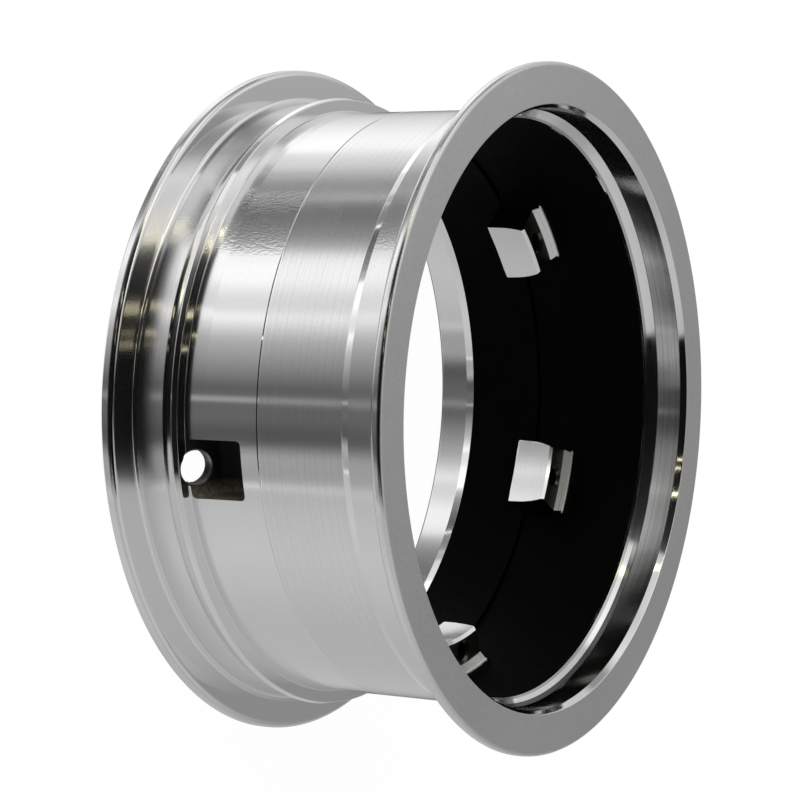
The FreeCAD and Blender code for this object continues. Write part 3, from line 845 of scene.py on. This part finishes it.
    def build(self) -> bpy.types.Object:
        """Carry the plan up through the levels; turning moves points out to a smallest radius.

        A point (x, y) turned to radius r keeps y and takes x = sqrt(r^2 - y^2) where that is
        further out.

        Returns:
            The six lugs as one piece.
        """
        plan, levels = self.plan(), self.levels()
        following = np.roll(plan, -1, axis=0) - np.roll(plan, 1, axis=0)
        normal = np.column_stack([following[:, 1], -following[:, 0]])
        normal /= np.linalg.norm(normal, axis=1, keepdims=True)
        open_side = (np.hypot(plan[:, 0], plan[:, 1]) < self.wall - 0.2)[:, None]
        z, least, inset = levels[:, :1], levels[:, 1:2], levels[:, 2:]
        flat = plan[None] + normal[None] * inset[:, None] * open_side[None]
        narrow = 1 - self.draft * (z - self.back) * (np.abs(plan[:, 1]) < self.half_width + 2)
        drop = self.flare * (np.clip(z - (self.shoulder - 7.0), 0.0, 7.0) / 7.0) ** 2
        fade = np.clip((73.5 - flat[..., 0]) / 7.9, 0.0, 1.0)
        y = flat[..., 1] * narrow
        y = y - np.sign(y) * np.minimum(drop * fade, np.abs(y) * 0.2)
        least = np.maximum(least, self.face)
        x = np.maximum(flat[..., 0], np.sqrt(least**2 - y**2))
        points = np.stack([x, y, np.broadcast_to(z, x.shape)], axis=-1)
        rows, columns = x.shape
        faces = grid_faces(rows, columns, False, True).tolist()
        faces += [list(range(columns))[::-1], list(range((rows - 1) * columns, rows * columns))]
        slots = np.full((rows - 1, columns), Surface.CAST.value)
        inner = np.abs(plan[:, 1]) < self.half_width - 0.3
        inner &= plan[:, 0] < self.face + 1.0
        slots[:9][:, inner & np.roll(inner, -1)] = Surface.LUG.value
        moved = x[10:15] > flat[10:15, :, 0] + 0.02
        moved |= np.roll(moved, -1, axis=1)
        slots[10:15][moved] = Surface.PILOT.value
        slots[8][inner & np.roll(inner, -1)] = Surface.POLISHED.value
        slots[9:11][moved[:2]] = Surface.SHOULDER.value
        slots = slots.ravel()
        slots = np.concatenate([slots, [Surface.CAST.value] * 2])
        copies, many = self.repeat(points.reshape(-1, 3), faces)
        lugs = mesh_piece("rim_lugs", copies, many, np.tile(slots, self.count), self.materials)
        carve(lugs, self.tap())
        shade(lugs)
        LOG.info("rim_lugs: %d faces", len(lugs.data.polygons))
        return lugs


@dataclass(frozen=True)
class Studio:
    """Pale floor, soft surroundings and the camera."""

    spin_deg: float = 77.7
    low: tuple = (
        (0, .12), (16, .13), (20, .56), (36, .86), (50, 1.10), (62, 1.25), (65, 1.22), (66, .82),
        (77, .78), (78.5, .46), (81.6, .40), (82, .70), (82.8, .70), (83.2, .34), (88, .24),
        (93.3, .22), (93.6, 1.7), (94.4, 1.7), (94.7, .13), (101, .13), (104, .17), (106, .15), (107.5, .27), (109, .18), (110.5, .30),
        (112, .21), (113.5, .36), (115, .27), (116.5, .50), (118, .44), (120.5, .68), (121.5, 1.18),
        (133, 1.18), (137, .95), (140, .84), (144.5, .84), (147, 1.12), (149, 1.02), (151, .82),
        (156, .52), (163, .37), (171, .21), (175, .13), (178.4, .14), (179.0, .40), (180.4, .40),
        (181.0, .14), (187, .15), (192, .10), (196, .10), (199, .30), (201.5, .44), (209, .37),
        (211.8, .40), (212.4, .85), (213.6, .85), (214.2, .50), (222, .57), (240, .62), (258, .57),
        (275, .51), (300, .51), (328, .56), (336, .42), (342, .12), (360, .12))
    middle: tuple = (
        (0, .30), (20, .30), (30, .62), (50, .62), (55, .30), (94, .30), (96, .95), (109, .92),
        (111, .75), (118, .66), (130, .30), (136, .10), (150, .03), (160, .012), (168, .008),
        (205, .010), (208, .35), (212, .48), (240, .57), (290, .50), (310, .45), (340, .40),
        (360, .30))
    high: tuple = (
        (0, .33), (8, .42), (16, .50), (24, .75), (44, .80), (52, .62), (62, .50), (66, .95),
        (74, 1.05), (80, .95), (92, .80), (100, .80), (110, .70), (118, .60), (207, .40), (214, .50),
        (225, .54), (250, .56), (300, .52), (315, .46), (335, .36), (350, .28), (360, .33))
    flag: tuple = (
        (-60, 1.0), (-42.3, 1.0), (-39.8, .12), (-34, .05), (-22, .025), (0, .012), (44, .010),
        (47, 1.0), (60, 1.0))
    glints: tuple = (
        (144.6, 145.8, 0.50, 0.74), (155.8, 156.6, 0.46, 0.60), (94, 97, 0.7, 1.1),
        (112.9, 115.0, 0.42, 0.75), (159.5, 160.0, 0.58, 0.74))
    place: tuple[float, float, float] = (-0.14515926, -0.604301, 0.40251833)
    right: tuple[float, float, float] = (0.08137155, 0.50569227, 0.85886796)
    up: tuple[float, float, float] = (-0.97651844, 0.21291545, -0.03284425)
    lens: float = 118.5

    def ramp(self, sheet: NodeSheet, along: bpy.types.NodeSocket, spots: np.ndarray,
             levels: np.ndarray) -> bpy.types.NodeSocket:
        """Grey level read from straight runs between given spots from 0 to 1."""
        curve = sheet.add("ShaderNodeValToRGB", {0: along})
        stops = curve.color_ramp.elements
        for spot in spots[1:-1]:
            stops.new(spot)
        for stop, level in zip(stops, levels):
            stop.color = (level, level, level, 1.0)
        return curve.outputs[0]

    def ring(self, sheet: NodeSheet, turn: bpy.types.NodeSocket, stops: tuple) -> bpy.types.NodeSocket:
        """Brightness round the axis, read from a table of bearings in degrees.

        A ramp keeps few samples, so each sixth of a turn has its own. Past its sixth a ramp
        holds its end level; the sixths are added, and the level at each joint is taken off once.

        Args:
            sheet: The world's nodes.
            turn: Bearing as a share of a full turn.
            stops: Pairs of bearing and level.

        Returns:
            The level.
        """
        bearings, levels = np.array(stops, dtype=float).T
        total = 0.0
        for start in range(0, 360, 60):
            inside = (bearings > start) & (bearings < start + 60)
            first, last = np.interp([start, start + 60], bearings, levels)
            spots = np.concatenate([[0.0], (bearings[inside] - start) / 60, [1.0]])
            along = sheet.math("MULTIPLY_ADD", turn, 6.0, -start / 60)
            part = self.ramp(sheet, along, spots, np.concatenate([[first], levels[inside], [last]]))
            total = sheet.math("ADD", total, sheet.math("SUBTRACT", part, first if start else 0.0))
        return total

    def window(self, sheet: NodeSheet, value: bpy.types.NodeSocket, low: float, high: float,
               soft: float) -> bpy.types.NodeSocket:
        """1 between two limits and 0 outside them, with soft edges."""
        sides = [
            sheet.add("ShaderNodeMapRange", {0: value, 1: limit - soft, 2: limit + soft},
                      interpolation_type="SMOOTHSTEP").outputs[0]
            for limit in (low, high)
        ]
        return sheet.math("SUBTRACT", *sides)

    def surroundings(self) -> None:
        """World of soft bands by bearing round the rim's axis, in three rings from below the
        horizon to above it, with small warm lamps in it. The camera itself sees plain white."""
        world = bpy.data.worlds.new("studio")
        bpy.context.scene.world = world
        world.use_nodes = True
        sheet = NodeSheet(world.node_tree)
        way = sheet.add("ShaderNodeTexCoord").outputs["Generated"]
        part = sheet.add("ShaderNodeSeparateXYZ", {0: way})
        bearing = sheet.math("ARCTAN2", part.outputs["Y"], part.outputs["X"])
        turn = sheet.math("DIVIDE", bearing, 2 * math.pi)
        turn = sheet.math("FRACT", sheet.math("SUBTRACT", turn, self.spin_deg / 360.0 - 1.0))
        height = part.outputs["Z"]
        off = sheet.math("SUBTRACT", sheet.math("FRACT", sheet.math("ADD", turn, 0.05)), 0.5)
        wide = sheet.math("MAXIMUM", sheet.math("ADD", height, 0.5), 0.85)
        off = sheet.math("DIVIDE", off, wide)
        spots, levels = np.array(self.flag, dtype=float).T
        flag = self.ramp(sheet, sheet.math("MULTIPLY_ADD", off, 3.0, 0.5), (spots + 60) / 120, levels)
        high = sheet.math("MULTIPLY", self.ring(sheet, turn, self.high), flag)
        rise = sheet.add("ShaderNodeMapRange", {0: height, 1: 0.40, 2: 0.50, 3: 0.78, 4: 1.0})
        high = sheet.math("MULTIPLY", high, rise.outputs[0])
        tone = sheet.blend(
            self.window(sheet, height, -0.24, 9.0, 0.06),
            self.ring(sheet, turn, self.low), self.ring(sheet, turn, self.middle),
        )
        tone = sheet.blend(self.window(sheet, height, 0.24, 9.0, 0.06), tone, high)
        for start, end, bottom, top in self.glints:
            spot = sheet.math(
                "MULTIPLY", self.window(sheet, turn, start / 360, end / 360, 0.0008),
                self.window(sheet, height, bottom, top, 0.03),
            )
            tone = sheet.blend(spot, tone, (3.0, 2.75, 1.85, 1.0))
        path = sheet.add("ShaderNodeLightPath")
        seen = sheet.math("MAXIMUM", path.outputs["Is Camera Ray"], path.outputs["Is Transmission Ray"])
        tone = sheet.blend(seen, tone, (1.0, 1.0, 1.0, 1.0))
        glow = sheet.add("ShaderNodeBackground", {0: tone, 1: 1.0})
        sheet.add("ShaderNodeOutputWorld", {0: glow.outputs[0]})

    def floor(self) -> None:
        """Large pale floor under the rim. It shows white and keeps a faint shadow."""
        half = 3000.0
        points = np.array([(-half, -half, 0), (half, -half, 0), (half, half, 0), (-half, half, 0)])
        mesh = bpy.data.meshes.new("floor")
        mesh.from_pydata((points * MM - np.array([0, 0, 0.0003])).tolist(), [], [(0, 1, 2, 3)])
        floor = bpy.data.objects.new("floor", mesh)
        bpy.context.scene.collection.objects.link(floor)
        floor.visible_glossy = False
        material = bpy.data.materials.new("floor_pale")
        material.use_nodes = True
        sheet = NodeSheet(material.node_tree)
        place = sheet.add("ShaderNodeTexCoord").outputs["Object"]
        cloud = sheet.add("ShaderNodeTexNoise", {"Vector": place, "Scale": 6.0}).outputs[0]
        tone = sheet.blend(cloud, (0.90, 0.90, 0.90, 1.0), (0.93, 0.93, 0.93, 1.0))
        path = sheet.add("ShaderNodeLightPath")
        seen = sheet.math("MAXIMUM", path.outputs["Is Camera Ray"], path.outputs["Is Transmission Ray"])
        matt = sheet.add("ShaderNodeBsdfDiffuse", {0: sheet.blend(seen, tone, (0.08, 0.08, 0.08, 1.0))})
        glow = sheet.math("MULTIPLY", seen, 0.96)
        white = sheet.add("ShaderNodeEmission", {0: (1.0, 1.0, 1.0, 1.0), 1: glow})
        both = sheet.add("ShaderNodeAddShader", {0: matt.outputs[0], 1: white.outputs[0]})
        sheet.add("ShaderNodeOutputMaterial", {0: both.outputs[0]})
        mesh.materials.append(material)

    def lamp(self) -> None:
        """One broad soft lamp above the open front end."""
        light = bpy.data.lights.new("softbox", "AREA")
        light.shape = "DISK"
        light.size = 0.9
        light.energy = 6.0
        box = bpy.data.objects.new("softbox", light)
        box.location = Vector((-0.7, -0.5, 1.1))
        box.rotation_mode = "QUATERNION"
        box.rotation_quaternion = (-box.location).to_track_quat("-Z", "Y")
        box.visible_glossy = False
        bpy.context.scene.collection.objects.link(box)

    def camera(self) -> None:
        """Camera at the photographed angle, turned on its side so that the axis lies across."""
        lens = bpy.data.cameras.new("camera")
        lens.lens = self.lens
        lens.sensor_width = 36.0
        lens.shift_x = -0.0006
        lens.clip_start = 0.01
        lens.clip_end = 20.0
        camera = bpy.data.objects.new("camera", lens)
        right, up = Vector(self.right), Vector(self.up)
        axes = Matrix((right, up, right.cross(up))).transposed().to_4x4()
        camera.matrix_world = Matrix.Translation(Vector(self.place)) @ axes
        bpy.context.scene.collection.objects.link(camera)
        bpy.context.scene.camera = camera

    def build(self) -> None:
        """Make the whole studio."""
        bpy.context.scene.view_settings.view_transform = "Standard"
        self.surroundings()
        self.floor()
        self.lamp()
        self.camera()


def main() -> None:
    """Build the rim's pieces and the studio."""
    logging.basicConfig(level=logging.INFO, format="%(message)s")
    materials = rim_finishes()
    ring = RimShell(materials=materials).build()
    lugs = Lugs(materials=materials).build()
    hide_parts("rim")
    for piece in (ring, lugs):
        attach(piece, "root")
    Studio().build()


if __name__ == "__main__":
    main()
